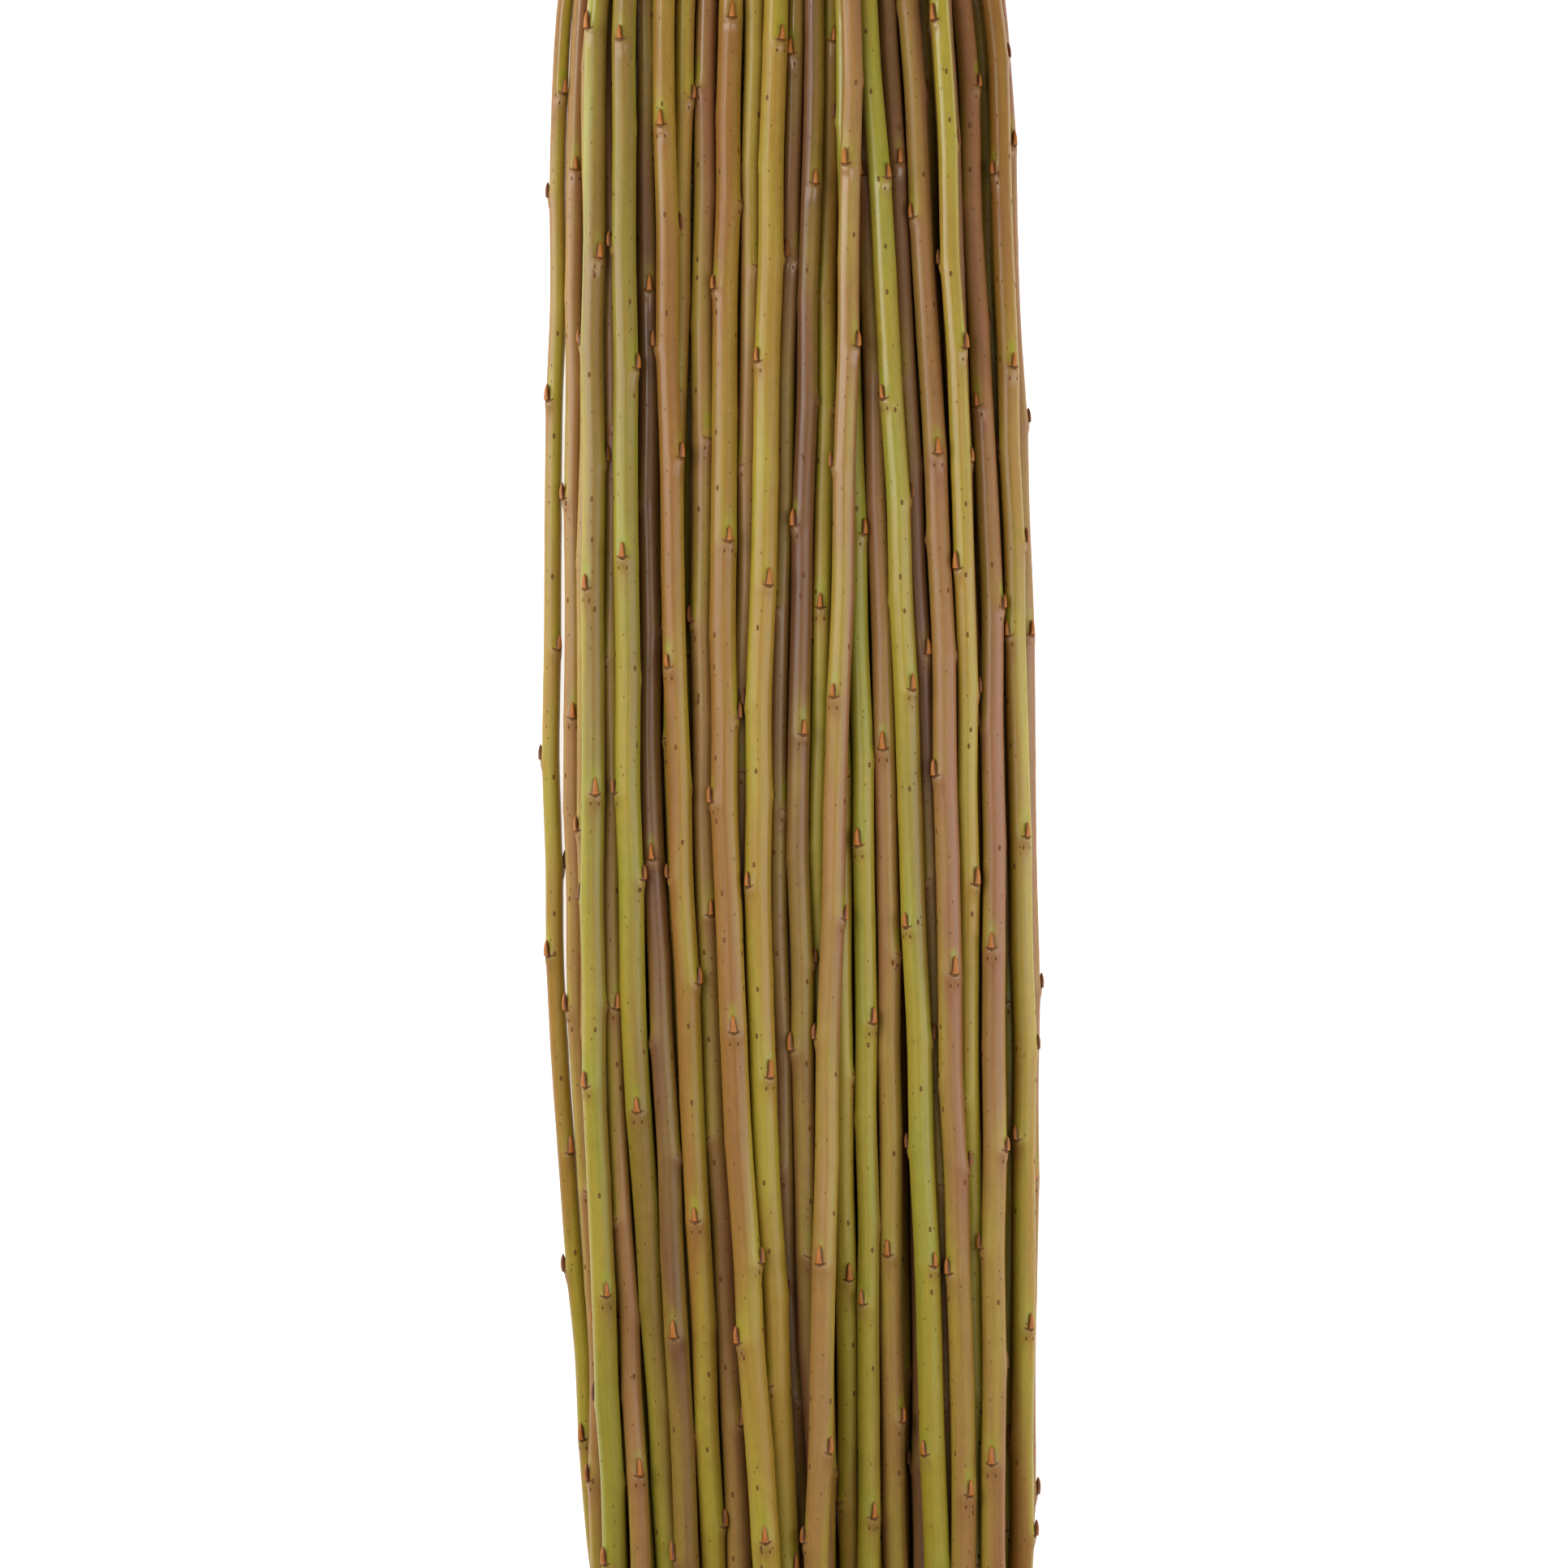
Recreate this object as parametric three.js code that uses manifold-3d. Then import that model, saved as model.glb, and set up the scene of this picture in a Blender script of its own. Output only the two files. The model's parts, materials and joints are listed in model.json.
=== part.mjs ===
// A bunch of long willow stems, cut bare in winter, tied with twine near both ends and laid on a
// flat surface. Millimetres. The stems run along Y, cut butts at -Y and tips at +Y; +Z is up, and
// the origin lies on the surface under the middle of the bunch.

import * as THREE from "three";
import { mergeVertices } from "three/addons/utils/BufferGeometryUtils.js";
import loadManifold from "manifold-3d";

// ---- Driving dimensions ----

// Places along the bunch are measured from its widest part.
const BUTT_LINE = -412;
const STATION_STEP = 68;
const STATIONS = 16;
const BUTT_TIE_STATION = 1;
const TIP_TIE_STATION = 12;
const GAUGE = 203;

// A stem: thick at the butt, thinning evenly, then quickly towards its tip.
const BUTT_DIAMETER = 6.5;
const EVEN_TAPER = 0.14;
const TIP_TAPER = 0.6;
const TIP_TAPER_POWER = 5;
const SIDES = 6;
const CUT_SLANT = 0.45;
const BUTT_STAGGER = 14;
const TIP_STAGGER_STATIONS = 3;
const SHORTEST_SEGMENT = 20;

// The bunch: half its width, and how far its middle line strays sideways, at places along it.
const OUTLINE = [
  { y: -412, half: 51, middle: 9 },
  { y: -344, half: 46, middle: 8 },
  { y: -203, half: 57.6, middle: 5.6 },
  { y: -68, half: 63.6, middle: 1.2 },
  { y: 0, half: 64.2, middle: -0.4 },
  { y: 68, half: 63.4, middle: -0.8 },
  { y: 203, half: 58.4, middle: -2.3 },
  { y: 404, half: 29, middle: -3 },
  { y: 608, half: 74, middle: -3 },
];
const LAYER_HEIGHT = 8.5;
const HIDDEN_LAYERS = [
  { count: 16, spread: 0.8 },
  { count: 14, spread: 0.73 },
];
const HIDDEN_LEAN = 0.05;

// The ties: several turns of twine laid side by side, pulled up against the stems.
const TIE_CLEARANCE = 0.35;
const TWINE = 2.4;
const TIE_TURNS = 4;
const TIE_SIDES = 40;
const TIE_FLOOR = 3.6;
const TIE_DEPTH = { butts: 25, tips: 14.5 };
const KNOT = { across: 8, along: 9, high: 5.5 };
const TAIL = { length: 22, radius: 1.1, spread: 0.5 };

// Settling the bunch: the gap kept between stems, and how it is relaxed.
const GAP = 0.36;
const SETTLING_STEPS = 1500;
const CLEARING_STEPS = 2500;
const STIFFNESS = 0.3;
const COURSE_PULL = { middle: 0.6, ends: 0.03 };
const WEIGHT = 0.12;
const SEED = 20;

// ---- Stems ----

const BARKS = {
  olive: { color: 0xa58a48, roughness: 0.5, metalness: 0 },
  green: { color: 0x8a803c, roughness: 0.5, metalness: 0 },
  rose: { color: 0xa07a50, roughness: 0.5, metalness: 0 },
  brown: { color: 0x7d5a3a, roughness: 0.5, metalness: 0 },
};

// The stems that show from above, left to right. at: their distance from the straight line through
// the bunch at the tip-side gauge line, the middle and the butt-side gauge line. layer: how many
// stems down from them to the surface. girth: their thickness against the usual stem.
const SHOWING = [
  { at: [-59.2, -62, -51.5], layer: 3, girth: 0.77, bark: "olive" },
  { at: [-54.1, -55, -47.5], layer: 3, girth: 0.88, bark: "rose" },
  { at: [-50.8, -51.5, -44], layer: 2, girth: 0.9, bark: "rose" },
  { at: [-48.4, -50.4, -43.5], layer: 3, girth: 1, bark: "green" },
  { at: [-45, -46, -38], layer: 2, girth: 0.84, bark: "rose" },
  { at: [-42.7, -42.4, -31.3], layer: 3.4, girth: 1.08, bark: "green" },
  { at: [-36.7, -36, -25.4], layer: 2.2, girth: 1, bark: "brown" },
  { at: [-32.8, -28.8, -19], layer: 3.2, girth: 1.02, bark: "olive" },
  { at: [-27.7, -29.5, -24], layer: 1.4, girth: 0.88, bark: "olive" },
  { at: [-20.4, -22, -12.2], layer: 3.3, girth: 1.04, bark: "rose" },
  { at: [-15.3, -15.8, -3.8], layer: 3.7, girth: 1.14, bark: "olive" },
  { at: [-9.3, -12.2, -8], layer: 2.4, girth: 0.95, bark: "rose" },
  { at: [-3.2, -8.8, 0.8], layer: 3.2, girth: 1.12, bark: "olive" },
  { at: [2.2, -3.2, 3], layer: 2, girth: 0.95, bark: "brown" },
  { at: [6.3, 2.6, 5], layer: 2.9, girth: 0.95, bark: "brown" },
  { at: [10.5, 7.3, 9], layer: 2.1, girth: 0.88, bark: "olive" },
  { at: [15.3, 11.8, 5.9], layer: 4.6, girth: 1, bark: "rose" },
  { at: [8.5, 12.5, 14], layer: 1.6, girth: 0.92, bark: "olive" },
  { at: [13.8, 17.4, 20.4], layer: 3, girth: 0.92, bark: "green" },
  { at: [18, 23.3, 26.3], layer: 2.7, girth: 1, bark: "rose" },
  { at: [19.3, 30.5, 38], layer: 4, girth: 1.06, bark: "green" },
  { at: [25, 35, 41], layer: 2.4, girth: 0.9, bark: "brown" },
  { at: [30.6, 39.3, 44.7], layer: 3.5, girth: 1.02, bark: "rose" },
  { at: [38.6, 45.1, 48.5], layer: 2.6, girth: 0.92, bark: "olive" },
  { at: [44.9, 50.3, 52], layer: 3.6, girth: 1, bark: "rose" },
  { at: [49.3, 54.5, 56.5], layer: 2.2, girth: 0.9, bark: "green" },
  { at: [53, 58.7, 59.6], layer: 3, girth: 0.95, bark: "olive" },
  { at: [55.6, 61.2, 60.5], layer: 2, girth: 0.9, bark: "rose" },
];

// A repeatable stream of numbers from 0 to 1.
function randomStream(seed) {
  let state = seed;
  return () => {
    state = (state + 0x6d2b79f5) | 0;
    let mixed = Math.imul(state ^ (state >>> 15), 1 | state);
    mixed = (mixed + Math.imul(mixed ^ (mixed >>> 7), 61 | mixed)) ^ mixed;
    return ((mixed ^ (mixed >>> 14)) >>> 0) / 4294967296;
  };
}

const random = randomStream(SEED);

function between(low, high) {
  return low + (high - low) * random();
}

// The bunch's half width or middle line at y, straight between the places that OUTLINE gives.
function outlineAt(y, key) {
  let k = 1;
  while (k < OUTLINE.length - 1 && OUTLINE[k].y < y) k += 1;
  const before = OUTLINE[k - 1];
  const after = OUTLINE[k];
  return THREE.MathUtils.mapLinear(y, before.y, after.y, before[key], after[key]);
}

// How far across the bunch a place is: -1 at its left edge and 1 at its right edge.
function shareAcross(x, y) {
  return (x - outlineAt(y, "middle")) / outlineAt(y, "half");
}

// The parabola through a stem's three places, held straight beyond the gauge lines.
function shareAlong(shares, y) {
  const [tips, middle, butts] = shares;
  const t = THREE.MathUtils.clamp(y / GAUGE, -1, 1);
  return middle + (t * (tips - butts)) / 2 + t * t * ((tips + butts) / 2 - middle);
}

function makeStem(shares, layer, girth, bark) {
  const buttY = BUTT_LINE + between(0, BUTT_STAGGER);
  const lastStation = STATIONS - 1 - Math.floor(between(0, TIP_STAGGER_STATIONS));
  const tipY = stationY(lastStation) - between(0, STATION_STEP - SHORTEST_SEGMENT);
  return { shares, layer, girth, bark, buttY, tipY, slantTurn: between(0, 2 * Math.PI) };
}

function showingStems() {
  const lines = [GAUGE, 0, -GAUGE];
  return SHOWING.map(({ at, layer, girth, bark }) => {
    const shares = at.map((x, k) => shareAcross(x, lines[k]));
    return makeStem(shares, layer, girth, bark);
  });
}

// The stems underneath: spread evenly over each layer, each leaning a little its own way.
function hiddenStems() {
  const barks = Object.keys(BARKS);
  const stems = [];
  HIDDEN_LAYERS.forEach(({ count, spread }, layer) => {
    for (let k = 0; k < count; k += 1) {
      const share = spread * ((2 * k) / (count - 1) - 1);
      const lean = between(-HIDDEN_LEAN, HIDDEN_LEAN);
      const bark = barks[Math.floor(between(0, barks.length))];
      stems.push(makeStem([share + lean, share, share - lean], layer, between(0.86, 1.08), bark));
    }
  });
  return stems;
}

function stationY(station) {
  return BUTT_LINE + station * STATION_STEP;
}

function stemRadius(stem, y) {
  const grown = THREE.MathUtils.clamp((y - stem.buttY) / (stem.tipY - stem.buttY), 0, 1);
  const even = 1 - EVEN_TAPER * grown;
  const tip = 1 - TIP_TAPER * grown ** TIP_TAPER_POWER;
  return (BUTT_DIAMETER / 2) * stem.girth * even * tip;
}

function courseX(stem, y) {
  return outlineAt(y, "middle") + shareAlong(stem.shares, y) * outlineAt(y, "half");
}

// ---- Settling the bunch ----

// Each stem holds x, z and radius at every station. It starts on its course, with the layers well
// apart, so that stems which cross pass over each other, and is then lowered onto the others.
function layOut(stem) {
  const stations = Array.from({ length: STATIONS }, (_, s) => stationY(s));
  stem.x = Float64Array.from(stations, (y) => courseX(stem, y));
  stem.course = Float64Array.from(stem.x);
  stem.radius = Float64Array.from(stations, (y) => stemRadius(stem, y));
  stem.z = new Float64Array(STATIONS).fill(BUTT_DIAMETER + stem.layer * LAYER_HEIGHT);
}

// Move one stem sideways at station s and the one after, shared by how near the contact is.
function nudge(stem, s, t, dx, dz) {
  stem.x[s] += (1 - t) * dx;
  stem.z[s] += (1 - t) * dz;
  stem.x[s + 1] += t * dx;
  stem.z[s + 1] += t * dz;
}

// Push two stems apart where they come closest between station s and the next.
function separate(a, b, s) {
  const x0 = b.x[s] - a.x[s];
  const z0 = b.z[s] - a.z[s];
  const turnX = b.x[s + 1] - a.x[s + 1] - x0;
  const turnZ = b.z[s + 1] - a.z[s + 1] - z0;
  const turn = turnX * turnX + turnZ * turnZ;
  const closest = turn > 0 ? -(x0 * turnX + z0 * turnZ) / turn : 0;
  const t = Math.min(1, Math.max(0, closest));
  const x = x0 + t * turnX;
  const z = z0 + t * turnZ;
  const apart = Math.sqrt(x * x + z * z) || 1e-6;
  const touching = (1 - t) * (a.radius[s] + b.radius[s]) + t * (a.radius[s + 1] + b.radius[s + 1]);
  const overlap = touching + GAP - apart;
  if (overlap <= 0) return 0;
  const push = overlap / apart / 2 / ((1 - t) * (1 - t) + t * t);
  nudge(a, s, t, -push * x, -push * z);
  nudge(b, s, t, push * x, push * z);
  return overlap;
}

function separateAll(stems) {
  let worst = 0;
  for (let a = 0; a < stems.length; a += 1) {
    for (let b = a + 1; b < stems.length; b += 1) {
      for (let s = 0; s < STATIONS - 1; s += 1) {
        worst = Math.max(worst, separate(stems[a], stems[b], s));
      }
    }
  }
  return worst;
}

function inMiddle(station) {
  return Math.abs(stationY(station)) < GAUGE + STATION_STEP / 2;
}

// Straighten a stem a little wherever it bends, and draw it down and back to its course.
function relax(stem) {
  for (let s = 1; s < STATIONS - 1; s += 1) {
    const bendX = stem.x[s - 1] - 2 * stem.x[s] + stem.x[s + 1];
    const bendZ = stem.z[s - 1] - 2 * stem.z[s] + stem.z[s + 1];
    stem.x[s] += (STIFFNESS * bendX) / 2;
    stem.z[s] += (STIFFNESS * bendZ) / 2;
    stem.x[s - 1] -= (STIFFNESS * bendX) / 4;
    stem.z[s - 1] -= (STIFFNESS * bendZ) / 4;
    stem.x[s + 1] -= (STIFFNESS * bendX) / 4;
    stem.z[s + 1] -= (STIFFNESS * bendZ) / 4;
  }
  for (let s = 0; s < STATIONS; s += 1) {
    const pull = inMiddle(s) ? COURSE_PULL.middle : COURSE_PULL.ends;
    stem.x[s] += pull * (stem.course[s] - stem.x[s]);
    stem.z[s] -= WEIGHT;
  }
}

// Keep a stem inside a tie's oval. pull goes from 0, slack, to 1, tight.
function gather(stem, station, depth, pull) {
  const y = stationY(station);
  const slack = 2 - pull;
  const halfWidth = outlineAt(y, "half") * slack - stem.radius[station];
  const halfDepth = depth * slack - stem.radius[station];
  const middleX = outlineAt(y, "middle");
  const middleZ = TIE_FLOOR + depth * slack;
  const x = stem.x[station] - middleX;
  const z = stem.z[station] - middleZ;
  const reach = Math.hypot(x / halfWidth, z / halfDepth);
  if (reach <= 1) return;
  stem.x[station] = middleX + x / reach;
  stem.z[station] = middleZ + z / reach;
}

// Keep a stem on the surface and inside the bunch's outline.
function confine(stem, pull) {
  for (let s = 0; s < STATIONS; s += 1) {
    const y = stationY(s);
    const room = outlineAt(y, "half") - stem.radius[s];
    const middle = outlineAt(y, "middle");
    if (inMiddle(s)) {
      stem.x[s] = THREE.MathUtils.clamp(stem.x[s], middle - room, middle + room);
    }
    stem.z[s] = Math.max(stem.z[s], stem.radius[s]);
  }
  gather(stem, BUTT_TIE_STATION, TIE_DEPTH.butts, pull);
  gather(stem, TIP_TIE_STATION, TIE_DEPTH.tips, pull);
}

function settle(stems) {
  stems.forEach(layOut);
  for (let step = 0; step < SETTLING_STEPS; step += 1) {
    const pull = Math.min(1, (1.5 * step) / SETTLING_STEPS);
    stems.forEach(relax);
    separateAll(stems);
    stems.forEach((stem) => confine(stem, pull));
  }
  for (let step = 0; step < CLEARING_STEPS; step += 1) {
    const worst = separateAll(stems);
    stems.forEach((stem) => confine(stem, 1));
    if (worst < 0.01) break;
  }
}

// ---- Stem solids ----

function centreAt(stem, y) {
  const place = THREE.MathUtils.clamp((y - BUTT_LINE) / STATION_STEP, 0, STATIONS - 1.001);
  const s = Math.floor(place);
  const x = THREE.MathUtils.lerp(stem.x[s], stem.x[s + 1], place - s);
  const z = THREE.MathUtils.lerp(stem.z[s], stem.z[s + 1], place - s);
  return new THREE.Vector3(x, y, z);
}

function ringPlaces(stem) {
  const low = stem.buttY + SHORTEST_SEGMENT;
  const high = stem.tipY - SHORTEST_SEGMENT;
  const stations = Array.from({ length: STATIONS }, (_, s) => stationY(s));
  return [stem.buttY, ...stations.filter((y) => y > low && y < high), stem.tipY];
}

// A plain cylinder whose rings are moved onto the stem's course. The butt is cut at a slant.
function stemGeometry(stem) {
  const places = ringPlaces(stem);
  const geometry = new THREE.CylinderGeometry(1, 1, 1, SIDES, places.length - 1);
  const position = geometry.attributes.position;
  const slant = new THREE.Vector2(CUT_SLANT, 0).rotateAround(new THREE.Vector2(), stem.slantTurn);
  for (let k = 0; k < position.count; k += 1) {
    const across = new THREE.Vector2(position.getX(k), position.getZ(k));
    const ring = Math.round((position.getY(k) + 0.5) * (places.length - 1));
    const radius = stemRadius(stem, places[ring]);
    const y = places[ring] + (ring === 0 ? radius * across.dot(slant) : 0);
    const centre = centreAt(stem, y);
    position.setXYZ(k, centre.x + radius * across.x, y, centre.z + radius * across.y);
  }
  geometry.computeVertexNormals();
  return geometry;
}

function stemMesh(stem, index) {
  const geometry = stemGeometry(stem);
  const foot = centreAt(stem, stem.buttY);
  geometry.translate(-foot.x, -foot.y, -foot.z);
  const mesh = new THREE.Mesh(geometry, new THREE.MeshStandardMaterial(BARKS[stem.bark]));
  mesh.name = `stem_${String(index + 1).padStart(2, "0")}`;
  mesh.position.copy(foot);
  return mesh;
}

// ---- Ties ----

// How far the stems reach in one direction across the bunch, over the width of a tie.
function reachOfStems(stems, y, halfWidth, direction) {
  let reach = -Infinity;
  for (const stem of stems) {
    for (const place of [y - halfWidth, y, y + halfWidth]) {
      const centre = centreAt(stem, place);
      const along = centre.x * direction.x + centre.z * direction.y;
      reach = Math.max(reach, along + stemRadius(stem, place));
    }
  }
  return reach;
}

// The taut outline round the stems, standing off them by a distance: where neighbouring tangents meet.
function tautOutline(stems, y, halfWidth, standOff) {
  const step = (2 * Math.PI) / TIE_SIDES;
  const tangents = Array.from({ length: TIE_SIDES }, (_, k) => {
    const direction = new THREE.Vector2(Math.cos(k * step), Math.sin(k * step));
    const reach = reachOfStems(stems, y, halfWidth, direction) + standOff;
    return { direction, reach };
  });
  return tangents.map((here, k) => {
    const next = tangents[(k + 1) % TIE_SIDES];
    const sideways = (next.reach - here.reach * Math.cos(step)) / Math.sin(step);
    const { x, y: up } = here.direction;
    return new THREE.Vector2(x * here.reach - up * sideways, up * here.reach + x * sideways);
  });
}

function bandGeometry(stems, y) {
  const width = TWINE * TIE_TURNS;
  const outside = tautOutline(stems, y, width / 2, TIE_CLEARANCE + TWINE);
  const band = new THREE.Shape(outside);
  band.holes.push(new THREE.Path(tautOutline(stems, y, width / 2, TIE_CLEARANCE)));
  const geometry = new THREE.ExtrudeGeometry(band, { depth: width, bevelEnabled: false });
  geometry.rotateX(Math.PI / 2);
  geometry.translate(0, y + width / 2, 0);
  return { geometry, top: outside.reduce((best, point) => (point.y > best.y ? point : best)) };
}

function knotGeometry(top, y) {
  const geometry = new THREE.SphereGeometry(0.5, 12, 8);
  geometry.scale(KNOT.across, KNOT.along, KNOT.high);
  geometry.translate(top.x, y, top.y + KNOT.high / 5);
  return geometry;
}

// A short cut end of twine that leaves the knot and lies along the stems.
function tailGeometry(top, y, side, along) {
  const geometry = new THREE.CylinderGeometry(TAIL.radius, TAIL.radius, TAIL.length, 8);
  geometry.translate(0, TAIL.length / 2, 0);
  geometry.rotateZ(side * TAIL.spread + (along < 0 ? Math.PI : 0));
  geometry.translate(top.x, y, top.y + TAIL.radius / 2);
  return geometry;
}

function toSolid(wasm, geometry) {
  const bare = geometry.index ? geometry.toNonIndexed() : geometry;
  bare.deleteAttribute("normal");
  bare.deleteAttribute("uv");
  const merged = mergeVertices(bare, 1e-4);
  const vertProperties = Float32Array.from(merged.attributes.position.array);
  const triVerts = Uint32Array.from(merged.index.array);
  return new wasm.Manifold(new wasm.Mesh({ numProp: 3, vertProperties, triVerts }));
}

function toGeometry(solid) {
  const { vertProperties, triVerts } = solid.getMesh();
  const geometry = new THREE.BufferGeometry();
  geometry.setAttribute("position", new THREE.BufferAttribute(vertProperties, 3));
  geometry.setIndex(new THREE.BufferAttribute(triVerts, 1));
  geometry.computeVertexNormals();
  return geometry;
}

function tieMesh(wasm, stems, station, name) {
  const y = stationY(station);
  const { geometry, top } = bandGeometry(stems, y);
  const pieces = [knotGeometry(top, y), tailGeometry(top, y, 1, 1), tailGeometry(top, y, 1, -1)];
  const solid = pieces.reduce((all, piece) => all.add(toSolid(wasm, piece)), toSolid(wasm, geometry));
  const twine = { color: 0xb8966a, roughness: 0.9, metalness: 0 };
  const mesh = new THREE.Mesh(toGeometry(solid), new THREE.MeshStandardMaterial(twine));
  mesh.name = name;
  return mesh;
}

// ---- Assembly ----

const wasm = await loadManifold();
wasm.setup();

const stems = [...showingStems(), ...hiddenStems()];
settle(stems);

const bunch = new THREE.Group();
stems.forEach((stem, index) => bunch.add(stemMesh(stem, index)));
bunch.add(tieMesh(wasm, stems, BUTT_TIE_STATION, "butt_tie"));
bunch.add(tieMesh(wasm, stems, TIP_TIE_STATION, "tip_tie"));

const box = new THREE.Box3().setFromObject(bunch, true);
const middle = box.getCenter(new THREE.Vector3());
bunch.position.set(-middle.x, -middle.y, -box.min.z);

export default bunch;
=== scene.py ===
import bpy
import json
import numpy as np
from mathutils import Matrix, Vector


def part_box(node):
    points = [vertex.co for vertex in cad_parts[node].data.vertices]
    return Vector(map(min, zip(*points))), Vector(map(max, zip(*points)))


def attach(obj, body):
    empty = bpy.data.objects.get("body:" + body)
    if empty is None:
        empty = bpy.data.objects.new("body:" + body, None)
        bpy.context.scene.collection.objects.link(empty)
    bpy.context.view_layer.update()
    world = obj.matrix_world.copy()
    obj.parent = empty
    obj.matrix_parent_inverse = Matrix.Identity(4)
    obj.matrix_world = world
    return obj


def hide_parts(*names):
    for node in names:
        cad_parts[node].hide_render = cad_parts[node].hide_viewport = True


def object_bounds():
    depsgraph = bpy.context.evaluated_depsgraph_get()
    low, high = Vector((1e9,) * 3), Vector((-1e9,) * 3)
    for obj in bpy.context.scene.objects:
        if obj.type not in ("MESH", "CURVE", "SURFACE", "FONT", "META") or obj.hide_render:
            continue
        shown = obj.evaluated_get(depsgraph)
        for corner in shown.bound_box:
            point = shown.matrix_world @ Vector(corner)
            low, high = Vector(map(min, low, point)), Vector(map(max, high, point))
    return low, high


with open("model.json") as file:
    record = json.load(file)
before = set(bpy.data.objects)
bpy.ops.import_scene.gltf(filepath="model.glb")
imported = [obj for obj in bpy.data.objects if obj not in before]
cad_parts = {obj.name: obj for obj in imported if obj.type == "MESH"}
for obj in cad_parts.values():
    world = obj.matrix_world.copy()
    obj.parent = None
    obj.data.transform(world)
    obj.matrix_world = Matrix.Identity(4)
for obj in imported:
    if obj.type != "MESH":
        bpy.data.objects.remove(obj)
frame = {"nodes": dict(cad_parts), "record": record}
cad_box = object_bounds()


# ---- Viewpoint -------------------------------------------------------------------------------
# The bunch lies on a table and is seen from straight above through a long lens, tips at the top.
# Only its widest stretch, between the two twine ties, fills the picture.

MM = 0.001

butt_tie_low, butt_tie_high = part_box("butt_tie")
tip_tie_low, tip_tie_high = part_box("tip_tie")
butt_tie_y = (butt_tie_low.y + butt_tie_high.y) / 2
tip_tie_y = (tip_tie_low.y + tip_tie_high.y) / 2
WIDEST_SHARE = 0.46
widest_y = butt_tie_y + WIDEST_SHARE * (tip_tie_y - butt_tie_y)

PICTURE_HEIGHT = 401 * MM
LENS = 110
SENSOR = 36
BARK_TOP = 21 * MM
SIDE_STEP = -1.9 * MM

camera_data = bpy.data.cameras.new("camera")
camera_data.lens = LENS
camera_data.sensor_width = SENSOR
camera = bpy.data.objects.new("camera", camera_data)
camera.location = (SIDE_STEP, widest_y, BARK_TOP + PICTURE_HEIGHT * LENS / SENSOR)
bpy.context.scene.collection.objects.link(camera)
bpy.context.scene.camera = camera


# ---- Stems: the rods -------------------------------------------------------------------------
# One-year willow rods, cut while bare. Each is a long even taper of wood under smooth thin bark,
# with a slight bend and a thicker place at every bud. Their courses are those of the rods packed
# in the frame, made smooth, so neighbours that are packed close run a little into each other.

stem_names = sorted(name for name in frame["nodes"] if name.startswith("stem_"))
RING_GAP = 12 * MM
SIDES = 18
ROW_STEP = 8 * MM
NODE_ROWS = np.array([-5.4, -3.2, -2, -1.2, -0.5, 0.3, 1.5, 3.6, 6.6]) * MM
INTERNODE = 22.5 * MM
FIRST_NODE = 14 * MM
FIRST_NODE_VARIES = (0.5, 1.2)
LAST_NODE = 9 * MM
SHORTEST_SPACING = 0.7
SPACING_AT_ENDS = 0.72
SPACING_GAIN = 0.5
SPACING_VARIES = (0.78, 1.22)
SPIRAL = np.radians(144)
SPIRAL_WANDER = np.radians(8)
KINK = 0.32 * MM
SWELLING = 0.025
SWELLING_REACH = 3.2 * MM
CUSHION = 0.46 * MM
CUSHION_BELOW = 1.1 * MM
CUSHION_SPREAD = (1.4 * MM, 1.5 * MM)
HOLLOW = 0.16 * MM
HOLLOW_ABOVE = 4 * MM
HOLLOW_SPREAD = (3 * MM, 1.1 * MM)
BESIDE_BUD = 10 * MM
FAR_ASIDE = 40 * MM
CUT_RINGS = np.array([0.2, 0.5, 0.8, 0.97])
BUTT_CUT = 0.45
TIP_ROUNDING = 0.7
CLOSEST_ROWS = 0.35 * MM
GREEN_SPREAD = (7 * MM, 2.6 * MM)
FIRST_SEED = 1000
PATTERN_SHIFT = 7
around = np.linspace(0, 2 * np.pi, SIDES, endpoint=False) - np.pi / 2


def rings_of(node):
    """Each ring's centre and radius from butt to tip: the rod's corners, sorted along Y and
    split wherever Y jumps by more than RING_GAP."""
    mesh = frame["nodes"][node].data
    corners = np.empty(len(mesh.vertices) * 3)
    mesh.vertices.foreach_get("co", corners)
    corners = np.unique(corners.reshape(-1, 3).round(6), axis=0)
    corners = corners[np.argsort(corners[:, 1])]
    rings = np.split(corners, np.flatnonzero(np.diff(corners[:, 1]) > RING_GAP) + 1)
    centres = np.array([ring.mean(axis=0) for ring in rings])
    radii = [np.linalg.norm((ring - ring.mean(axis=0))[:, [0, 2]], axis=1).max() for ring in rings]
    return centres, np.array(radii)


def smooth_course(centres, y):
    """The rod's middle at each y: a cubic between rings whose slope at a ring is the mean slope
    of its two neighbouring stretches."""
    slope = np.gradient(centres, centres[:, 1], axis=0)
    k = np.clip(np.searchsorted(centres[:, 1], y) - 1, 0, len(centres) - 2)
    step = (centres[k + 1, 1] - centres[k, 1])[:, None]
    t = ((y - centres[k, 1]) / step[:, 0])[:, None]
    rise = 3 * t**2 - 2 * t**3
    start, end = t**3 - 2 * t**2 + t, t**3 - t**2
    bend = step * (start * slope[k] + end * slope[k + 1])
    return (1 - rise) * centres[k] + rise * centres[k + 1] + bend


def bell(far_along, far_round, spread):
    """A Gaussian hump on the bark, 1 in its middle, with its spread along and round the rod."""
    return np.exp(-((far_along / spread[0]) ** 2) - (far_round / spread[1]) ** 2)


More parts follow.
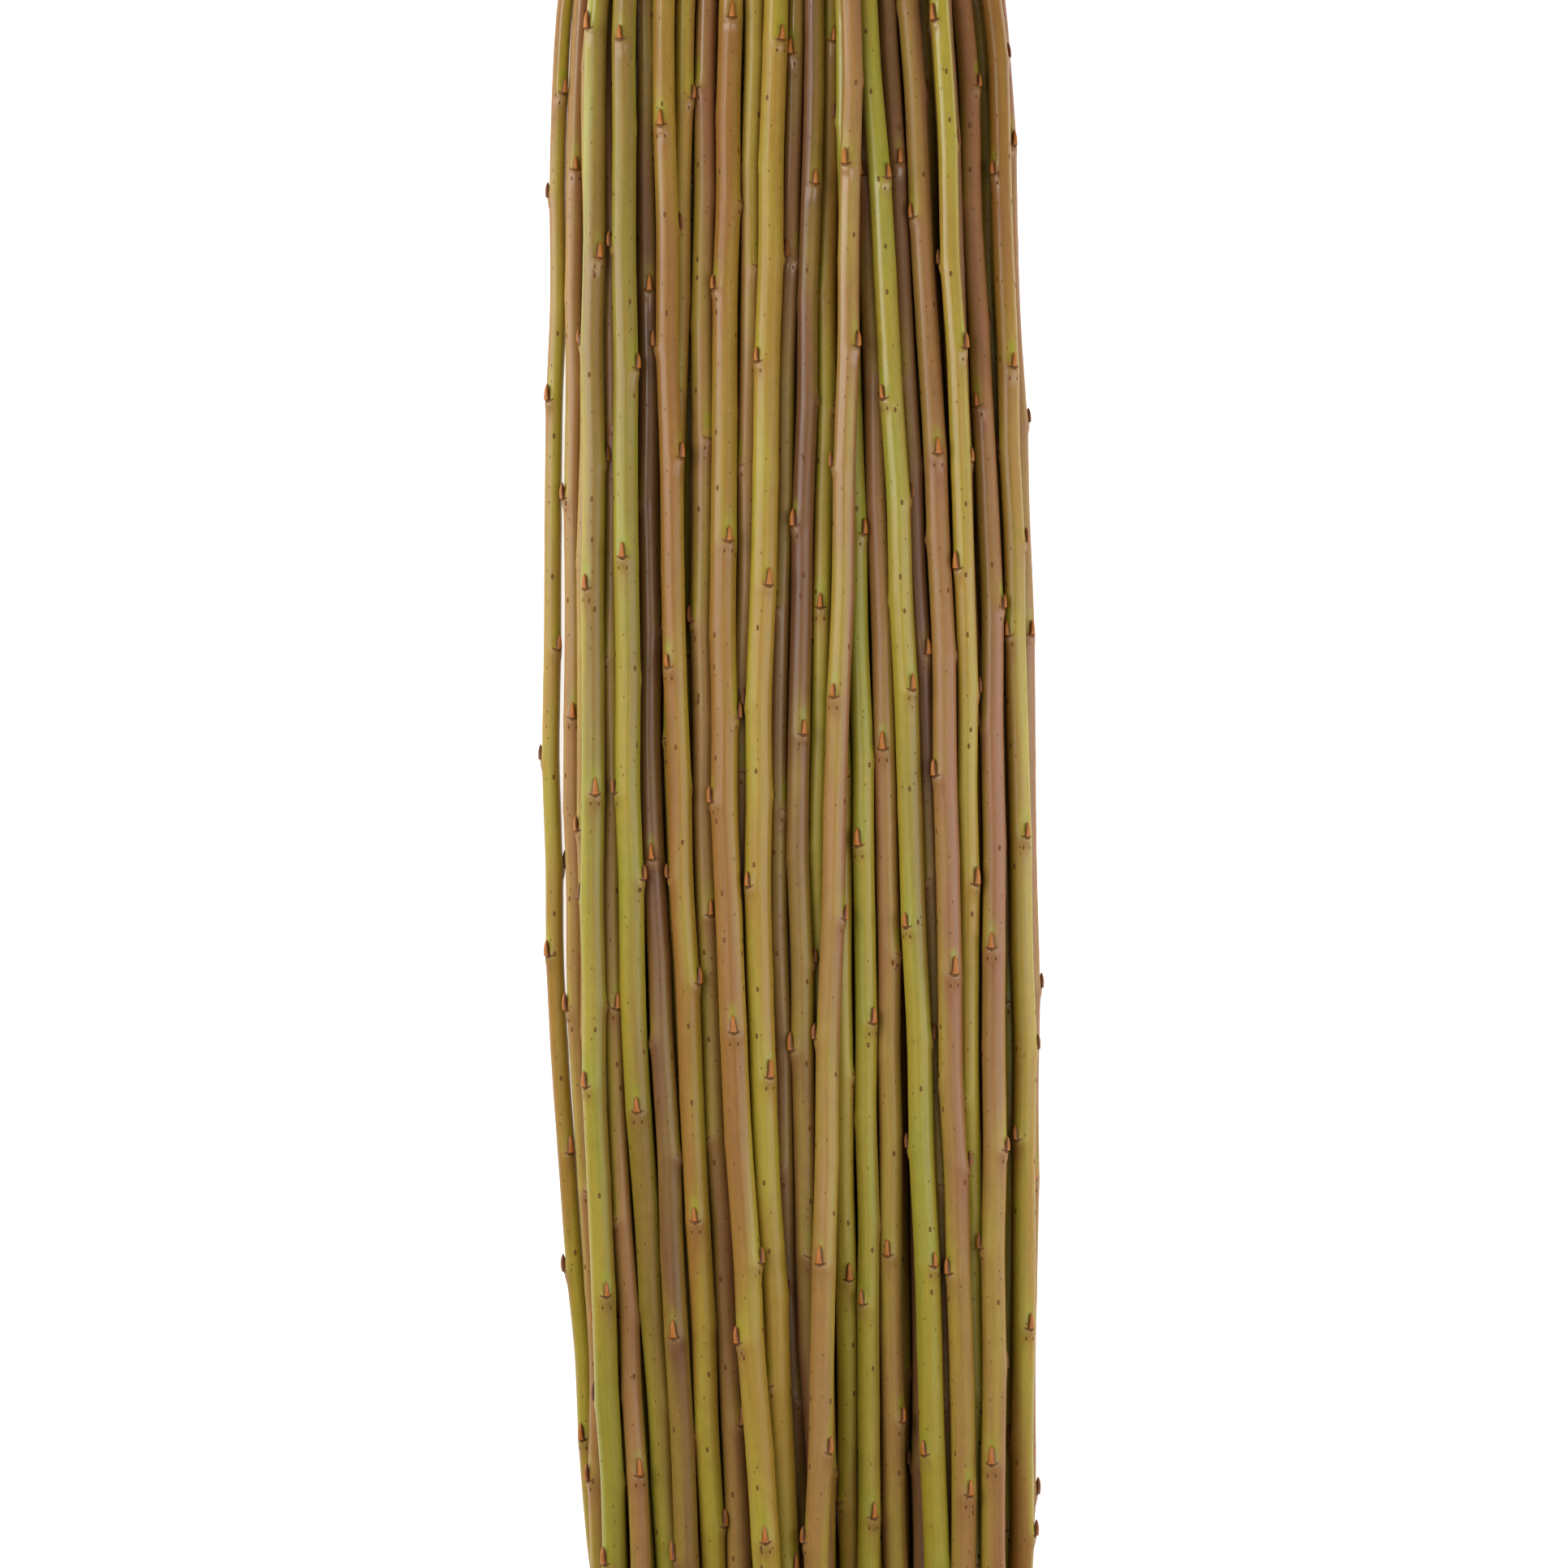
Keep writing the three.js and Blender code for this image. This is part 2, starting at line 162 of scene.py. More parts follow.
class Rod:
    """One stem's course, girth and buds, worked out once and shared by its bark and its buds."""

    def __init__(self, index, name):
        self.name = name
        self.random = np.random.default_rng(FIRST_SEED + index)
        self.centres, self.radii = rings_of(name)
        self.butt, self.tip = self.centres[0, 1], self.centres[-1, 1]
        self.place_buds()
        self.offset = self.random.uniform(0, PATTERN_SHIFT, 3)
        self.sunny_side = self.random.uniform(0, 2 * np.pi)

    def place_buds(self):
        """Buds stand on a spiral of two turns to five buds, closer together near both ends."""
        grown = np.linspace(0, 1, int((self.tip - self.butt) / (SHORTEST_SPACING * INTERNODE)))
        hump = np.sin(np.pi * np.clip(1.15 * grown, 0, 1)) ** 0.7
        step = INTERNODE * (SPACING_AT_ENDS + SPACING_GAIN * hump)
        step = step * self.random.uniform(*SPACING_VARIES, len(grown))
        first = self.random.uniform(*FIRST_NODE_VARIES) * FIRST_NODE
        along = self.butt + first + np.cumsum(step) - step[0]
        self.bud_y = along[along < self.tip - LAST_NODE]
        turn = SPIRAL * self.random.choice([-1, 1])
        wander = self.random.normal(0, SPIRAL_WANDER, len(self.bud_y))
        self.bud_angle = self.random.uniform(0, 2 * np.pi) + turn * np.arange(len(self.bud_y)) + wander
        self.bud_chance = self.random.uniform(size=len(self.bud_y))

    def middle(self, y):
        """The rod's middle at y. From bud to bud it steps a little to and fro, towards each bud."""
        level = np.zeros_like(self.bud_y)
        to_bud = np.stack([np.cos(self.bud_angle), level, np.sin(self.bud_angle)], axis=1)
        shift = [np.interp(y, self.bud_y, to_bud[:, axis]) for axis in range(3)]
        return smooth_course(self.centres, y) + KINK * np.stack(shift, axis=1)

    def axes(self, y):
        """Along the rod, to its right and up from it, at each y."""
        ahead = self.middle(y + MM) - self.middle(y - MM)
        ahead /= np.linalg.norm(ahead, axis=1, keepdims=True)
        right = np.array([1.0, 0, 0]) - ahead[:, :1] * ahead
        right /= np.linalg.norm(right, axis=1, keepdims=True)
        return ahead, right, np.cross(right, ahead)

    def radius(self, y):
        """The bare taper: straight between the frame's rings."""
        return np.interp(y, self.centres[:, 1], self.radii)

    def beside_bud(self, y, angle):
        """How far each place is above its nearest bud, how far round the rod from it, and that
        bud's chance number."""
        nearest = np.abs(y[:, None] - self.bud_y).argmin(axis=1)
        above = (y - self.bud_y[nearest])[:, None]
        turned = angle[None, :] - self.bud_angle[nearest][:, None]
        turned = (turned + np.pi) % (2 * np.pi) - np.pi
        return above, turned * self.radius(y)[:, None], self.bud_chance[nearest][:, None]

    def thickness(self, y, angle):
        """The radius at each y and angle: the taper, plus three Gaussians at each bud, for a
        swelling all round, a cushion just under the bud and a shallow hollow over it."""
        above, aside, _ = self.beside_bud(y, angle)
        swelling = SWELLING * np.exp(-((above / SWELLING_REACH) ** 2))
        cushion = bell(above + CUSHION_BELOW, aside, CUSHION_SPREAD)
        hollow = bell(above - HOLLOW_ABOVE, aside, HOLLOW_SPREAD)
        return self.radius(y)[:, None] * (1 + swelling) + CUSHION * cushion - HOLLOW * hollow

    def surface(self, y, angle):
        """Places on the bark at each pair of y and angle, with along and outwards there."""
        ahead, right, up = self.axes(y)
        near = np.diagonal(self.thickness(y, angle))
        outward = np.cos(angle)[:, None] * right + np.sin(angle)[:, None] * up
        return self.middle(y) + near[:, None] * outward, ahead, outward


rods = [Rod(index, name) for index, name in enumerate(stem_names)]


def tube_faces(rows, sides):
    """The faces of a tube whose corners run ring by ring, then its first pole and its last: quads
    between neighbouring rings, and a fan of triangles on each pole. With each face corner goes its
    row, where the poles are rows 0 and rows + 1, and its column, up to and with sides."""
    row, side = (part.ravel() for part in np.indices((rows - 1, sides)))
    here, over = row * sides + side, row * sides + (side + 1) % sides
    quads = np.stack([here, here + sides, over + sides, over], axis=1)
    quad_rows = np.stack([row, row + 1, row + 1, row], axis=1) + 1
    quad_columns = np.stack([side, side, side + 1, side + 1], axis=1)
    k = np.arange(sides)
    after, last = (k + 1) % sides, (rows - 1) * sides
    one, middle = np.ones(sides, int), k + 0.5
    first_fan = np.stack([k, after, rows * sides * one], axis=1)
    last_fan = np.stack([last + after, last + k, (rows * sides + 1) * one], axis=1)
    fans = np.concatenate([first_fan, last_fan])
    first_rows = np.stack([one, one, 0 * one], axis=1)
    last_rows = np.stack([rows * one, rows * one, (rows + 1) * one], axis=1)
    fan_rows = np.concatenate([first_rows, last_rows])
    first_columns = np.stack([k, k + 1, middle], axis=1)
    last_columns = np.stack([k + 1, k, middle], axis=1)
    fan_columns = np.concatenate([first_columns, last_columns])
    return [(quads, quad_rows, quad_columns), (fans, fan_rows, fan_columns)]


class Skin:
    """The surface of one piece, put together from closed tubes."""

    def __init__(self):
        self.corners, self.faces, self.wears = [], [], []
        self.flat, self.baked = [], []
        self.numbers, self.count = {}, 0

    def add(self, rings, poles, wear, lay_flat, bake, **numbers):
        """Adds a tube. wear gives the finish of each face by its lowest row, lay_flat each face
        corner's place on the unrolled skin and bake its place on the map for baking, both by row
        and column. numbers are the attributes that the finish reads, a value to each corner."""
        rows, sides = rings.shape[:2]
        self.corners.append(np.concatenate([rings.reshape(-1, 3), poles]))
        for faces, row, column in tube_faces(rows, sides):
            self.faces += (faces + self.count).tolist()
            self.wears.append(wear(row.min(axis=1)))
            self.flat.append(np.stack(lay_flat(row, column), axis=-1).reshape(-1, 2))
            self.baked.append(np.stack(bake(row, column), axis=-1).reshape(-1, 2))
        for label, values in numbers.items():
            flat = values.reshape(rows * sides, -1)
            ends = values[:1].mean(axis=1), values[-1:].mean(axis=1)
            both = np.concatenate([flat, *(end.reshape(1, -1) for end in ends)])
            self.numbers.setdefault(label, []).append((self.count, both))
        self.count += rows * sides + 2

    def object(self, name, finishes):
        """The piece, pressed flat wherever it would sink into the table."""
        corners = np.concatenate(self.corners)
        corners[:, 2] = np.maximum(corners[:, 2], 0)
        mesh = bpy.data.meshes.new(name)
        mesh.from_pydata(corners.tolist(), [], self.faces)
        mesh.polygons.foreach_set("material_index", np.concatenate(self.wears).astype(np.int32))
        for finish in finishes:
            mesh.materials.append(finish)
        for label, parts in self.numbers.items():
            width = parts[0][1].shape[1]
            values = np.zeros((self.count, width), np.float32)
            for start, part in parts:
                values[start:start + len(part)] = part
            kind, field = ("FLOAT", "value") if width == 1 else ("FLOAT_VECTOR", "vector")
            mesh.attributes.new(label, kind, "POINT").data.foreach_set(field, values.ravel())
        for label, parts in (("OFBake", self.baked), ("unrolled", self.flat)):
            layer = mesh.uv_layers.new(name=label)
            layer.uv.foreach_set("vector", np.concatenate(parts).astype(np.float32).ravel())
        mesh.shade_smooth()
        mesh.set_sharp_from_angle(angle=SHARP_CREASE)
        piece = bpy.data.objects.new(name, mesh)
        bpy.context.scene.collection.objects.link(piece)
        return piece


STRIPS = 8
STRIP_BAND = 0.86
STRIP_MARGIN = 0.05
SHARP_CREASE = np.radians(65)
BARK, BUD, SCAR, WOOD = range(4)


def add_rod(skin, rod):
    """The cut face as rings widening from the pith, then the bark as rings along the rod, closer
    together at the buds, and closed at the tip, which the last bud covers."""
    even = np.arange(rod.butt, rod.tip - MM, ROW_STEP)
    y = np.concatenate([even, (rod.bud_y[:, None] + NODE_ROWS).ravel(), [rod.tip - MM]])
    y = np.unique(y[(y >= rod.butt) & (y <= rod.tip - MM)])
    y = y[np.append(True, np.diff(y) > CLOSEST_ROWS)]
    ahead, right, up = rod.axes(y)
    near = rod.thickness(y, around)
    sideways, upwards = np.cos(around)[None, :, None], np.sin(around)[None, :, None]
    outward = sideways * right[:, None] + upwards * up[:, None]
    bark_rings = rod.middle(y)[:, None] + near[..., None] * outward
    slant = BUTT_CUT * near[0] * np.cos(around - rod.sunny_side)
    bark_rings[0] += slant[:, None] * ahead[0]
    pith = bark_rings[0].mean(axis=0)
    wood_rings = pith + CUT_RINGS[:, None, None] * (bark_rings[0] - pith)
    rings = np.concatenate([wood_rings, bark_rings])
    poles = np.stack([pith, rod.middle(y[-1:])[0] + ahead[-1] * rod.radius(y[-1]) * TIP_ROUNDING])
    share = np.concatenate([CUT_RINGS, np.ones(len(y))])
    y = np.concatenate([np.full(len(CUT_RINGS), rod.butt), y])
    above, aside, chance = rod.beside_bud(y, around)
    aside = np.where(np.abs(above) > BESIDE_BUD, FAR_ASIDE, np.abs(aside))
    level = np.broadcast_to(above, aside.shape)
    greener = np.tanh(level / (1.6 * MM)) * bell(level, aside, GREEN_SPREAD)
    spoke = (share * rod.radius(y))[:, None]
    far_along = np.broadcast_to(y[:, None], aside.shape)
    place = [np.cos(around) * spoke, far_along, np.sin(around) * spoke]
    along = np.concatenate([y[:1] - MM, y, y[-1:] + MM])
    radius = rod.radius(along)

    def lay_flat(row, column):
        return radius[row] * 2 * np.pi * column / SIDES + rod.offset[0], along[row] + rod.offset[1]

    def bake(row, column):
        length = (rod.tip - rod.butt + 2 * MM) / STRIPS
        strip = np.floor((along[row.min(axis=1)] - along[0]) / length)[:, None]
        u = 0.004 + 0.95 * ((along[row] - along[0]) / length - strip)
        v = strip + STRIP_MARGIN + (1 - 2 * STRIP_MARGIN) * column / SIDES
        return u, STRIP_BAND * v / STRIPS

    skin.add(
        rings, poles, lambda row: np.where(row < len(CUT_RINGS), WOOD, BARK), lay_flat, bake,
        place=np.stack(place, axis=-1) + rod.offset,
        by_bud=np.stack([aside / MM, level / MM, np.broadcast_to(chance, aside.shape)], axis=-1),
        greener=greener,
        sunny=np.broadcast_to(np.cos(around - rod.sunny_side), aside.shape),
        grown=np.broadcast_to(((y - rod.butt) / (rod.tip - rod.butt))[:, None], aside.shape),
        heart=np.broadcast_to(share[:, None], aside.shape))


# ---- Stems: buds and leaf scars --------------------------------------------------------------
# Each bud is one blunt scale pressed flat against the rod. It sits on the brown scar of last
# year's leaf, a thin crescent with a small wing to each side, on a cushion of bark.

BUD_LENGTH = 4.3 * MM
BUD_WIDTH = 0.8 * MM
BUD_HEIGHT = 0.78 * MM
BUD_ROWS, BUD_SIDES = 7, 8
BUD_FOOT_FLARE = 0.38
BUD_VARIES = (0.85, 1.12)
BUD_SIZE_AT_ENDS = (1.08, 0.85)
BUD_SHARES = np.linspace(0, 0.985, BUD_ROWS) ** 0.85
BLUNTNESS, ROUNDNESS = 2.4, 0.62
BUD_FOOT_SUNK = 0.25 * MM
TIP_BUD_LENGTH = 5 * MM
TIP_BUD_OVERLAP = 1.2 * MM
TIP_BUD_GIRTH = 1.06
TIP_BUD_SUNK = 0.3 * MM
SCAR_REACH = 1.62 * MM
SCAR_DROP = 0.42 * MM
SCAR_LIFT = 0.62 * MM
SCAR_ROWS, SCAR_SIDES = 9, 6
BUD_TILES = (0.875, 0.935)
SCAR_TILES = (0.945, 0.99)


def tile(number, count, band, rows, sides):
    """The map for baking of a small tube: one of a row of tiles above the strips."""
    low, high = band

    def bake(row, column):
        u = (number + 0.06 + 0.88 * column / sides) / count
        return u, low + (high - low) * row / (rows + 1)

    return bake


def small_flat(row, column):
    """A small tube's place on the unrolled skin, which its finish doesn't read."""
    return column * MM, row * MM


def wrap_bud(skin, rod, middle, poles, girth, axes, number, count):
    """A bud's scale round its middle line, as oval rings. girth is its half width and its height,
    and both narrow towards the tip: 1 less the share of its length to the power BLUNTNESS, and
    that to the power ROUNDNESS."""
    ahead, outward = axes
    width, height = girth
    phi = np.linspace(0, 2 * np.pi, BUD_SIDES, endpoint=False)
    narrowing = (1 - BUD_SHARES**BLUNTNESS) ** ROUNDNESS
    across = (width * narrowing)[:, None] * np.cos(phi)
    high = height * narrowing[:, None] * np.sin(phi)
    sideways = np.cross(ahead, outward)
    rings = middle[:, None] + across[..., None] * sideways + high[..., None] * outward
    skin.add(
        rings, poles, lambda row: np.full(len(row), BUD), small_flat,
        tile(number, count, BUD_TILES, BUD_ROWS, BUD_SIDES),
        place=rings + rod.offset,
        # The height round the bud's section, which the bud finish turns into painted light on top and
        # painted shade at the sides.
        keel=np.broadcast_to(np.sin(phi), across.shape),
        grown=np.broadcast_to(BUD_SHARES[:, None], across.shape))


def add_bud(skin, rod, y, angle, size, number, count):
    """A side bud. Its half width has a Gaussian added at its foot, and its middle line rises from
    the bark by a parabola, so that it sits half sunk in it."""
    s = BUD_SHARES
    width = BUD_WIDTH * (1 + BUD_FOOT_FLARE * np.exp(-((s / 0.14) ** 2))) * size
    base, ahead, outward = rod.surface(np.array([y]), np.array([angle]))
    lift = BUD_HEIGHT * (0.05 + 0.75 * s * (1 - s) + 0.1 * s) * size
    middle = base + s[:, None] * BUD_LENGTH * size * ahead + lift[:, None] * outward
    tip = base + ahead * BUD_LENGTH * size + outward * lift[-1]
    poles = np.concatenate([base - BUD_FOOT_SUNK * ahead, tip])
    girth = (width, BUD_HEIGHT * size)
    wrap_bud(skin, rod, middle, poles, girth, (ahead, outward), number, count)


def add_tip_bud(skin, rod, number, count):
    """The last bud of a rod, which closes its tip."""
    end = np.array([rod.tip - TIP_BUD_OVERLAP])
    ahead, _, up = rod.axes(end)
    middle = rod.middle(end) + BUD_SHARES[:, None] * TIP_BUD_LENGTH * ahead
    foot = middle[:1]
    poles = np.concatenate([foot - TIP_BUD_SUNK * ahead, foot + TIP_BUD_LENGTH * ahead])
    width = rod.radius(end)[0] * TIP_BUD_GIRTH
    wrap_bud(skin, rod, middle, poles, (width, width), (ahead, up), number, count)


def add_scar(skin, rod, y, angle, number, count):
    """A leaf scar as a thin roll of bark bent round the foot of its bud. Its thickness is even
    but for a Gaussian in the middle and a small one near each end, and its ends climb the rod by
    the square of how far they are from the middle."""
    a = np.linspace(-1, 1, SCAR_ROWS)
    phi = np.linspace(0, 2 * np.pi, SCAR_SIDES, endpoint=False)
    turned = angle + SCAR_REACH * a / rod.radius(np.array([y]))
    points, ahead, outward = rod.surface(y - SCAR_DROP + SCAR_LIFT * a**2, turned)
    wings = 0.1 * np.exp(-(((np.abs(a) - 0.84) / 0.17) ** 2))
    thick = MM * (0.15 + 0.3 * np.exp(-((a / 0.45) ** 2)) + wings)
    rise = MM * (0.05 + 0.12 * np.exp(-((a / 0.5) ** 2)))
    rings = points[:, None] + thick[:, None, None] * np.cos(phi)[None, :, None] * ahead[:, None]
    rings = rings + rise[:, None, None] * np.sin(phi)[None, :, None] * outward[:, None]
    skin.add(
        rings, points[[0, -1]], lambda row: np.full(len(row), SCAR), small_flat,
        tile(number, count, SCAR_TILES, SCAR_ROWS, SCAR_SIDES),
        place=rings + rod.offset)


SAMPLE_STEP = 4 * MM
TABLE_ROOM = 0.2 * MM
BUD_ROOM = 0.4 * MM
BUD_MIDDLE_OUT = 0.9 * MM
BUD_MIDDLE_ALONG = 2 * MM
sample_y = np.arange(cad_box[0].y, cad_box[1].y, SAMPLE_STEP)
sample_middles = np.stack([rod.middle(sample_y)[:, [0, 2]] for rod in rods])
sample_radii = np.stack([rod.radius(sample_y) for rod in rods])
butts, tips = np.array([[rod.butt, rod.tip] for rod in rods]).T


def off_table(rod, y, angle):
    """Whether the place two bud widths out from the bark there is clear of the table."""
    base, _, outward = rod.surface(np.array([y]), np.array([angle]))
    return base[0, 2] + 2 * BUD_WIDTH * outward[0, 2] > TABLE_ROOM


def room_for_bud(rod, y, angle):
    """Whether the middle of a bud there is BUD_ROOM clear of every other rod's bare taper. Their
    swellings and cushions aren't counted, so a bud can still touch a neighbour."""
    base, ahead, outward = rod.surface(np.array([y]), np.array([angle]))
    place = base[0] + outward[0] * BUD_MIDDLE_OUT + ahead[0] * BUD_MIDDLE_ALONG
    k = np.clip(int((place[1] - sample_y[0]) / SAMPLE_STEP + 0.5), 0, len(sample_y) - 1)
    gap = np.linalg.norm(sample_middles[:, k] - place[[0, 2]], axis=1) - sample_radii[:, k]
    beside = (butts < place[1]) & (place[1] < tips)
    beside[rods.index(rod)] = False
    return gap[beside].min() > BUD_ROOM


# ---- Stems: bark, bud and wood finishes ------------------------------------------------------
# Young willow bark is thin, smooth and faintly waxy. Its colour drifts between olive, green, tan
# and rose along and around a rod, with fine lengthwise streaks and small dark breathing pores.


class Value:
    """A number or colour in a finish. Arithmetic on numbers adds Math nodes."""

    def __init__(self, finish, socket):
        self.finish, self.socket = finish, socket

    def maths(self, operation, *values):
        return self.finish.node("ShaderNodeMath", {"operation": operation}, dict(enumerate(values)))

    def __add__(self, other):
        return self.maths("ADD", self, other)

    def __sub__(self, other):
        return self.maths("SUBTRACT", self, other)

    def __rsub__(self, other):
        return self.maths("SUBTRACT", other, self)

    def __mul__(self, other):
        return self.maths("MULTIPLY", self, other)

    def __pow__(self, other):
        return self.maths("POWER", self, other)

    __radd__, __rmul__ = __add__, __mul__

    def __abs__(self):
        return self.maths("ABSOLUTE", self)

    def either(self, other):
        return self.maths("MAXIMUM", self, other)

    def clear(self, low, high):
        """0 below low and 1 above high, smooth between."""
        settings = {"interpolation_type": "SMOOTHSTEP"}
        sockets = {"Value": self, "From Min": low, "From Max": high}
        return self.finish.node("ShaderNodeMapRange", settings, sockets)


class Finish:
    """A material being mixed. Its constants go on the shader's own sockets, with _ for a space."""

    def __init__(self, name, **constants):
        self.material = bpy.data.materials.new(name)
        self.material.use_nodes = True
        self.nodes = self.material.node_tree.nodes
        self.shader = self.nodes["Principled BSDF"]
        for socket, value in constants.items():
            self.shader.inputs[socket.replace("_", " ")].default_value = value

    def node(self, kind, settings, sockets, output=0):
        """Adds any shader node, set and fed, and gives back one of its outputs."""
        made = self.nodes.new(kind)
        for key, value in settings.items():
            setattr(made, key, value)
        for key, value in sockets.items():
            self.feed(made.inputs[key], value)
        return Value(self, made.outputs[output])

    def feed(self, socket, value):
        if isinstance(value, Value):
            self.material.node_tree.links.new(value.socket, socket)
        else:
            socket.default_value = value

    def attribute(self, name, output="Fac"):
        return self.node("ShaderNodeAttribute", {"attribute_name": name}, {}, output)

    def part(self, vector, axis):
        return self.node("ShaderNodeSeparateXYZ", {}, {"Vector": vector}, axis)

    def noise(self, place, scale, detail=3.0, rough=0.5):
        """Noise from about 0 to 1 over a place stretched by scale, in features per metre."""
        stretched = self.node("ShaderNodeMapping", {}, {"Vector": place, "Scale": scale})
        sockets = {"Vector": stretched, "Scale": 1.0, "Detail": detail, "Roughness": rough}
        return self.node("ShaderNodeTexNoise", {}, sockets)

    def mix(self, share, start, end, blend="MIX"):
        settings = {"data_type": "RGBA", "blend_type": blend}
        return self.node("ShaderNodeMix", settings, {0: share, 6: start, 7: end}, 2)

    def shaded(self, level, ground):
        """A colour made darker or lighter by a number."""
        grey = {"Red": level, "Green": level, "Blue": level}
        return self.mix(1.0, ground, self.node("ShaderNodeCombineColor", {}, grey), "MULTIPLY")

    def bump(self, height, distance):
        sockets = {"Height": height, "Distance": distance, "Strength": 1.0}
        return self.node("ShaderNodeBump", {}, sockets)

    def wear(self, **values):
        for socket, value in values.items():
            self.feed(self.shader.inputs[socket.replace("_", " ")], value)
        return self.material


def colour(red, green, blue):
    """A screen colour, 0 to 255, as the linear colour that shaders use."""
    screen = np.array([red, green, blue]) / 255
    linear = np.where(screen <= 0.04045, screen / 12.92, ((screen + 0.055) / 1.055) ** 2.4)
    return (*linear.tolist(), 1.0)


BARKS = {
    "olive_bark": [colour(156, 138, 42), colour(154, 121, 42), colour(136, 90, 38)],
    "green_bark": [colour(142, 135, 42), colour(151, 132, 40), colour(126, 95, 38)],
    "rose_bark": [colour(153, 128, 46), colour(148, 109, 54), colour(136, 87, 54)],
    "brown_bark": [colour(136, 109, 40), colour(124, 86, 46), colour(102, 64, 40)],
}
FRESH_GREEN = colour(136, 139, 26)
CUSHION_TAN = colour(140, 104, 60)
PORE_BROWN = colour(88, 44, 10)
PORE_PALE = colour(140, 108, 62)


def pores(finish, place, scale, share, size):
    """How far each place is from the middle of its pore: 0 there, 1 at the pore's edge and far
    more where there is none. Pores sit in the flat cells of a Voronoi pattern, in a share of
    them, and size is theirs against a cell's."""
    stretched = finish.node("ShaderNodeMapping", {}, {"Vector": place, "Scale": scale})
    settings = {"voronoi_dimensions": "2D"}
    cells = {"Vector": stretched, "Scale": 1.0, "Randomness": 1.0}
    distance = finish.node("ShaderNodeTexVoronoi", settings, cells, "Distance")
    kind = finish.node("ShaderNodeTexVoronoi", settings, cells, "Color")
    chosen = finish.node("ShaderNodeSeparateColor", {}, {"Color": kind})
    return distance * (1 / size) + chosen.clear(share, share + 0.02) * 9


def bark(name, tints):
    """Bark of one tint: its lighter, middle and sunny-side colours, mixed by slow noise and by the
    side of the rod; a fresh green streak over each bud, tan and two pores under it; then streaks,
    mottling, fine grain and scattered pores."""
    finish = Finish(name, Coat_Roughness=0.13, Specular_IOR_Level=0.28)
    place = finish.attribute("place", "Vector")
    by_bud = finish.attribute("by_bud", "Vector")
    aside, above, chance = (finish.part(by_bud, axis) for axis in "XYZ")
    slow = finish.noise(place, (130, 14, 130), 2.0)
    drift = finish.noise(place, (80, 7, 80), 2.0)
    streaks = finish.noise(place, (1500, 30, 1500), 3.0)
    mottle = finish.noise(place, (500, 260, 500), 4.0, 0.6)
    greener = finish.attribute("greener")
    ground = finish.mix((slow - greener * 0.16).clear(0.36, 0.62), tints[0], tints[1])
    grown = finish.attribute("grown")
    sunny = finish.attribute("sunny") * 0.4 + drift * 2.4 - 1.5 - greener * 0.3 + grown * 0.6
    ground = finish.mix(sunny.clear(-0.15, 0.65) * 0.9, ground, tints[2])
    cushion = above.clear(-6, -1) * (1 - above.clear(-0.8, 0.4)) * (1 - aside.clear(0.6, 2.6))
    ground = finish.mix(cushion * 0.45, ground, CUSHION_TAN)
    fresh = above.clear(1, 5) * (1 - above.clear(3.5, 9)) * (1 - aside.clear(0, 1.7))
    ground = finish.mix(fresh * (0.2 + chance * 0.8), ground, FRESH_GREEN)
    fine = finish.noise(place, (2600, 420, 2600), 2.0, 0.7)
    ground = finish.shaded(0.5 + streaks * 0.4 + mottle * 0.3 + fine * 0.3, ground)
    down = above + 1.9 + chance * 1.2
    under = (((aside - 1.05) * 2) ** 2 + down**2).clear(0.1, 0.4)
    pair = (1 - under) * chance.clear(0.3, 0.32)
    unrolled = finish.attribute("unrolled", "Vector")
    large = pores(finish, unrolled, (170, 90, 1), 0.24, 0.075)
    small = pores(finish, unrolled, (290, 160, 1), 0.34, 0.07)
    spots = pair.either(1 - large.clear(0.7, 1)).either((1 - small.clear(0.5, 1)) * 0.85)
    ground = finish.mix(spots * 0.88, ground, PORE_BROWN)
    ground = finish.mix((1 - large.clear(0.15, 0.45)) * 0.6, ground, PORE_PALE)
    height = streaks * 0.4 + mottle * 0.5 + spots * 0.4 + fine * 0.3
    return finish.wear(
        Base_Color=ground,
        Roughness=0.31 + mottle * 0.2 + spots * 0.4,
        Coat_Weight=(0.05 + grown.clear(0.45, 0.8) * 0.42) * (1 - spots),
        Normal=finish.bump(height, 0.05 * MM),
    )


def bud_finish():
    """A bud's scale: orange tan along its middle ridge and red brown at its edges, the ridge lighter
    as painted light and the edges darker as painted shade; darker at its tip.
    """
    finish = Finish("bud_scale", Specular_IOR_Level=0.3)
    keel = finish.attribute("keel")
    grown = finish.attribute("grown")
    mottle = finish.noise(finish.attribute("place", "Vector"), (900, 500, 900))
    # Painted light and shade: orange tan where the section faces out, red brown down its sides.
    ground = finish.mix(keel.clear(0.2, 0.95), colour(92, 48, 18), colour(172, 104, 36))
    ground = finish.mix(grown.clear(0.75, 1.05) * 0.5, ground, colour(112, 62, 30))
    ground = finish.mix(mottle.clear(0.4, 0.8) * 0.3, ground, colour(138, 78, 28))
    normal = finish.bump(mottle, 0.06 * MM)
    return finish.wear(Base_Color=ground, Roughness=0.42 + mottle * 0.14, Normal=normal)


def scar_finish():
    """A leaf scar: corky brown, paler in patches."""
    finish = Finish("leaf_scar", Specular_IOR_Level=0.3)
    mottle = finish.noise(finish.attribute("place", "Vector"), (1300, 1300, 1300))
    ground = finish.mix(mottle.clear(0.35, 0.7), colour(94, 60, 26), colour(124, 88, 42))
    normal = finish.bump(mottle, 0.12 * MM)
    return finish.wear(Base_Color=ground, Roughness=0.7 + mottle * 0.15, Normal=normal)


